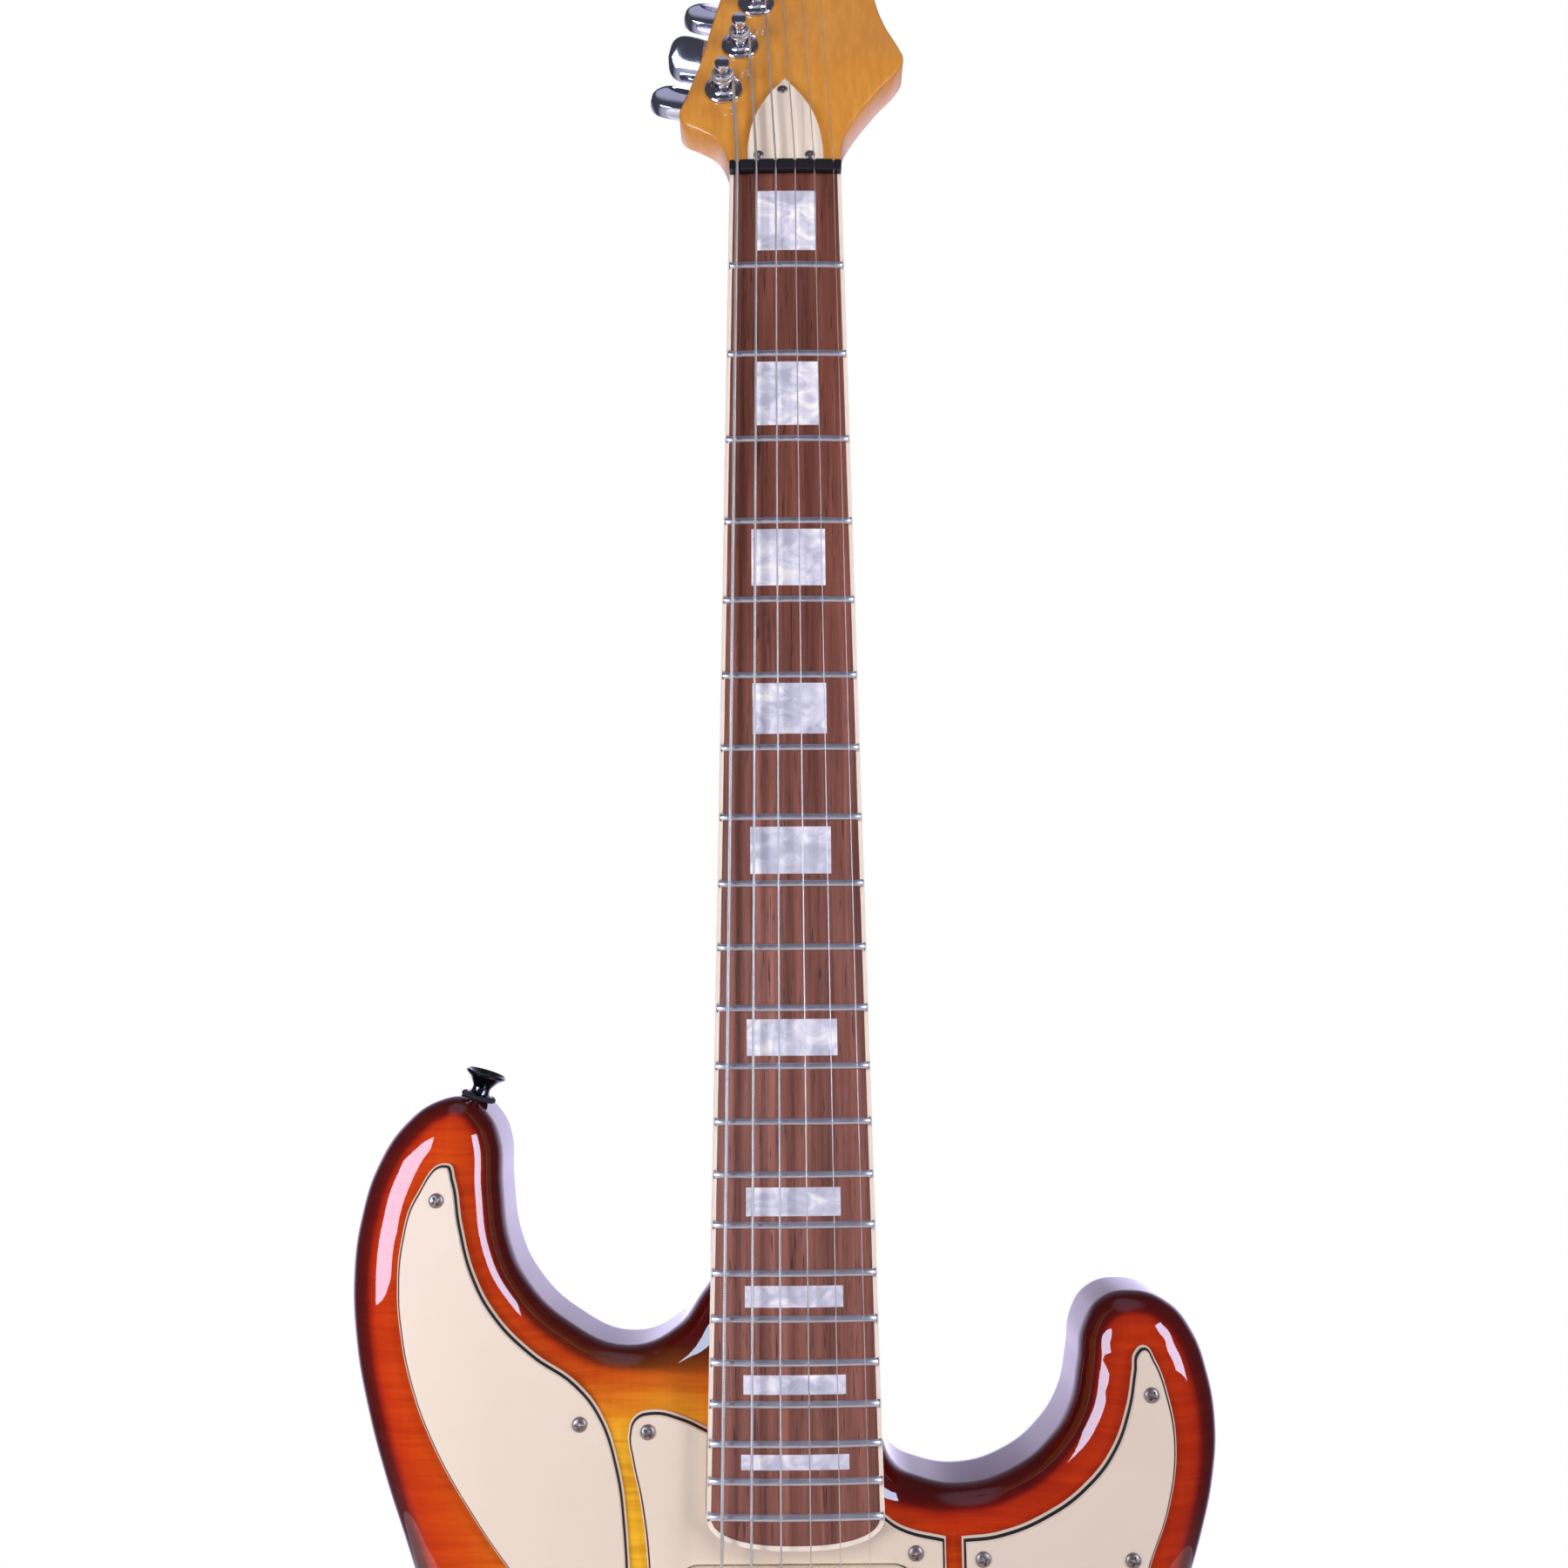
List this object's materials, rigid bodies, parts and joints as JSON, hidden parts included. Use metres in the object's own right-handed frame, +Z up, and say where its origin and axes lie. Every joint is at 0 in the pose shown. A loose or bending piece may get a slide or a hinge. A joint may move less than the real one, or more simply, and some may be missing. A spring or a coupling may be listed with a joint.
{
  "type": "electric guitar",
  "caption": "Solid-body electric guitar with a bolt-on neck, two-horned sunburst body, cream plates, covered pickups, in-line tuners and a vibrato bridge.",
  "frame": {"origin": "centre of the end strap button's outer face, on the body's middle plane", "axes": "+Z up along the neck to the headstock, -Y out of the front with the strings, +X to the treble side"},
  "size_m": [0.3243, 0.0923, 0.9927],
  "materials": {
    "sunburst": "high-gloss sunburst lacquer over figured wood",
    "maple": "amber satin lacquer",
    "rosewood": "oiled, open pores",
    "cream_plastic": "semi-gloss cream",
    "black_plastic": "satin black",
    "chrome": "polished chrome plate",
    "steel": "plain steel"
  },
  "bodies": {
    "guitar": {"body": "sunburst", "neck": "maple", "fingerboard": "rosewood", "fingerboard_binding": "cream_plastic", "truss_rod_cover": "cream_plastic", "pickguard_bass": "cream_plastic", "pickguard_centre": "cream_plastic", "pickguard_treble": "cream_plastic", "neck_pickup": "cream_plastic", "middle_pickup": "cream_plastic", "bridge_pickup": "cream_plastic", "back_cover": "cream_plastic", "nut": "black_plastic", "neck_plate": "chrome", "output_jack": "chrome", "strap_button_upper": "chrome", "strap_button_end": "chrome", "tuner_housing_1": "chrome", "tuner_housing_2": "chrome", "tuner_housing_3": "chrome", "tuner_housing_4": "chrome", "tuner_housing_5": "chrome", "tuner_housing_6": "chrome", "truss_rod": "steel", "spring_claw": "steel", "vibrato_spring_1": "steel", "vibrato_spring_2": "steel", "volume_pot": "steel", "tone_pot": "steel", "selector_switch": "steel", "string_1": "steel", "string_2": "steel", "string_3": "steel", "string_4": "steel", "string_5": "steel", "string_6": "steel"},
    "vibrato": {"bridge_plate": "chrome", "saddle_1": "chrome", "saddle_2": "chrome", "saddle_3": "chrome", "saddle_4": "chrome", "saddle_5": "chrome", "saddle_6": "chrome", "inertia_block": "steel"},
    "arm": {"vibrato_arm": "chrome"},
    "volume": {"volume_knob": "cream_plastic"},
    "tone": {"tone_knob": "cream_plastic"},
    "selector": {"selector_lever": "cream_plastic"},
    "post_1": {"tuner_post_1": "chrome"},
    "button_1": {"tuner_button_1": "chrome"},
    "post_2": {"tuner_post_2": "chrome"},
    "button_2": {"tuner_button_2": "chrome"},
    "post_3": {"tuner_post_3": "chrome"},
    "button_3": {"tuner_button_3": "chrome"},
    "post_4": {"tuner_post_4": "chrome"},
    "button_4": {"tuner_button_4": "chrome"},
    "post_5": {"tuner_post_5": "chrome"},
    "button_5": {"tuner_button_5": "chrome"},
    "post_6": {"tuner_post_6": "chrome"},
    "button_6": {"tuner_button_6": "chrome"}
  },
  "joints": [
    {"name": "button_1_turn", "type": "hinge", "parent": "guitar", "child": "button_1", "pos_m": [0.00944, 0.02474, 0.96566], "axis": [-0.965, 0.059, 0.2557], "continuous": true},
    {"name": "post_1_turn", "type": "hinge", "parent": "guitar", "child": "post_1", "pos_m": [0.0076, 0.00636, 0.96297], "axis": [0, -0.9744, 0.225], "continuous": true},
    {"name": "button_2_turn", "type": "hinge", "parent": "guitar", "child": "button_2", "pos_m": [0.00324, 0.01961, 0.94344], "axis": [-0.965, 0.059, 0.2557], "continuous": true},
    {"name": "post_2_turn", "type": "hinge", "parent": "guitar", "child": "post_2", "pos_m": [0.0014, 0.00123, 0.94076], "axis": [0, -0.9744, 0.225], "continuous": true},
    {"name": "button_3_turn", "type": "hinge", "parent": "guitar", "child": "button_3", "pos_m": [-0.00296, 0.01448, 0.92123], "axis": [-0.965, 0.059, 0.2557], "continuous": true},
    {"name": "post_3_turn", "type": "hinge", "parent": "guitar", "child": "post_3", "pos_m": [-0.0048, -0.0039, 0.91854], "axis": [0, -0.9744, 0.225], "continuous": true},
    {"name": "button_4_turn", "type": "hinge", "parent": "guitar", "child": "button_4", "pos_m": [-0.00916, 0.00935, 0.89901], "axis": [-0.965, 0.059, 0.2557], "continuous": true},
    {"name": "post_4_turn", "type": "hinge", "parent": "guitar", "child": "post_4", "pos_m": [-0.011, -0.00902, 0.89632], "axis": [0, -0.9744, 0.225], "continuous": true},
    {"name": "button_5_turn", "type": "hinge", "parent": "guitar", "child": "button_5", "pos_m": [-0.01536, 0.00422, 0.8768], "axis": [-0.965, 0.059, 0.2557], "continuous": true},
    {"name": "post_5_turn", "type": "hinge", "parent": "guitar", "child": "post_5", "pos_m": [-0.0172, -0.01415, 0.87411], "axis": [0, -0.9744, 0.225], "continuous": true},
    {"name": "button_6_turn", "type": "hinge", "parent": "guitar", "child": "button_6", "pos_m": [-0.02156, -0.00091, 0.85458], "axis": [-0.965, 0.059, 0.2557], "continuous": true},
    {"name": "post_6_turn", "type": "hinge", "parent": "guitar", "child": "post_6", "pos_m": [-0.0234, -0.01928, 0.85189], "axis": [0, -0.9744, 0.225], "continuous": true},
    {"name": "vibrato_tilt", "type": "hinge", "parent": "guitar", "child": "vibrato", "pos_m": [0, -0.0255, 0.1738], "axis": [-1, 0, 0], "range_deg": [-2, 6], "stiffness_Nm_per_rad": 10, "deforming": ["string_1", "string_2", "string_3", "string_4", "string_5", "string_6", "vibrato_spring_1", "vibrato_spring_2"]},
    {"name": "arm_swing", "type": "hinge", "parent": "vibrato", "child": "arm", "pos_m": [0.038, -0.0243, 0.1438], "axis": [0, -1, 0], "range_deg": [-45, 180]},
    {"name": "volume_turn", "type": "hinge", "parent": "guitar", "child": "volume", "pos_m": [0.092, -0.0243, 0.1818], "axis": [0, -1, 0], "range_deg": [-150, 150]},
    {"name": "tone_turn", "type": "hinge", "parent": "guitar", "child": "tone", "pos_m": [0.092, -0.0243, 0.1438], "axis": [0, -1, 0], "range_deg": [-150, 150]},
    {"name": "selector_tilt", "type": "hinge", "parent": "guitar", "child": "selector", "pos_m": [0.069, -0.0128, 0.1838], "axis": [1, 0, 0], "range_deg": [-17, 17]}
  ],
  "couplings": [
    {"joint": "post_1_turn", "follows": "button_1_turn", "ratio": 0.071429},
    {"joint": "post_2_turn", "follows": "button_2_turn", "ratio": 0.071429},
    {"joint": "post_3_turn", "follows": "button_3_turn", "ratio": 0.071429},
    {"joint": "post_4_turn", "follows": "button_4_turn", "ratio": 0.071429},
    {"joint": "post_5_turn", "follows": "button_5_turn", "ratio": 0.071429},
    {"joint": "post_6_turn", "follows": "button_6_turn", "ratio": 0.071429}
  ]
}
